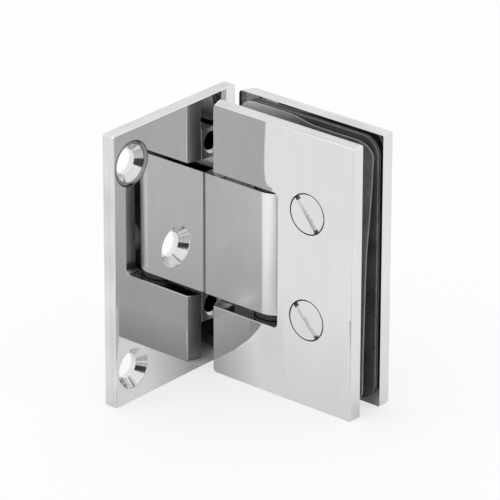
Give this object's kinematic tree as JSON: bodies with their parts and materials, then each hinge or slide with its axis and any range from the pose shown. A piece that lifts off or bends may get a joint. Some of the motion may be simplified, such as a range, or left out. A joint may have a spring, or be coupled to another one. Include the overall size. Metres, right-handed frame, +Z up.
{
  "type": "glass door hinge",
  "caption": "Wall-to-glass shower door hinge: flat wall plate, knuckle block on a vertical pin, and a two-plate clamp for the glass edge.",
  "frame": {"origin": "centre of the middle wall hole at the wall plate's back face, on the wall surface", "axes": "+X away from the wall, +Z up along the plates and the pin, +Y towards the wall plate's edge that carries the knuckle block"},
  "size_m": [0.0648, 0.0579, 0.09],
  "materials": {
    "chrome": "polished",
    "steel": "satin",
    "rubber": "matte",
    "nylon": "matte",
    "black_nylon": "matte"
  },
  "bodies": {
    "wall_side": {"wall_plate": "chrome", "knuckle_block": "chrome", "block_screw_upper": "steel", "block_screw_lower": "steel", "bush_upper": "nylon", "bush_lower": "nylon", "thrust_washer_upper": "black_nylon", "thrust_washer_lower": "black_nylon", "detent_spring_upper": "steel", "detent_spring_lower": "steel"},
    "plunger": {"detent_plunger": "steel"},
    "door_side": {"clamp_body": "chrome", "cover_plate": "chrome", "front_gasket": "rubber", "rear_gasket": "rubber", "clamp_screw_upper": "chrome", "clamp_screw_lower": "chrome", "screw_sleeve_upper": "nylon", "screw_sleeve_lower": "nylon", "grub_screw_upper": "steel", "grub_screw_lower": "steel", "pivot_pin": "steel"}
  },
  "joints": [
    {"name": "door_swing", "type": "hinge", "parent": "wall_side", "child": "door_side", "pos_m": [0.0275, 0.0206, 0], "axis": [0, 0, 1], "range_deg": [-90, 90]},
    {"name": "detent_slide", "type": "slide", "parent": "wall_side", "child": "plunger", "axis": [1, 0, 0], "range_m": [0, 0.00075], "stiffness_N_per_m": 8000, "springref_m": 0.004}
  ]
}
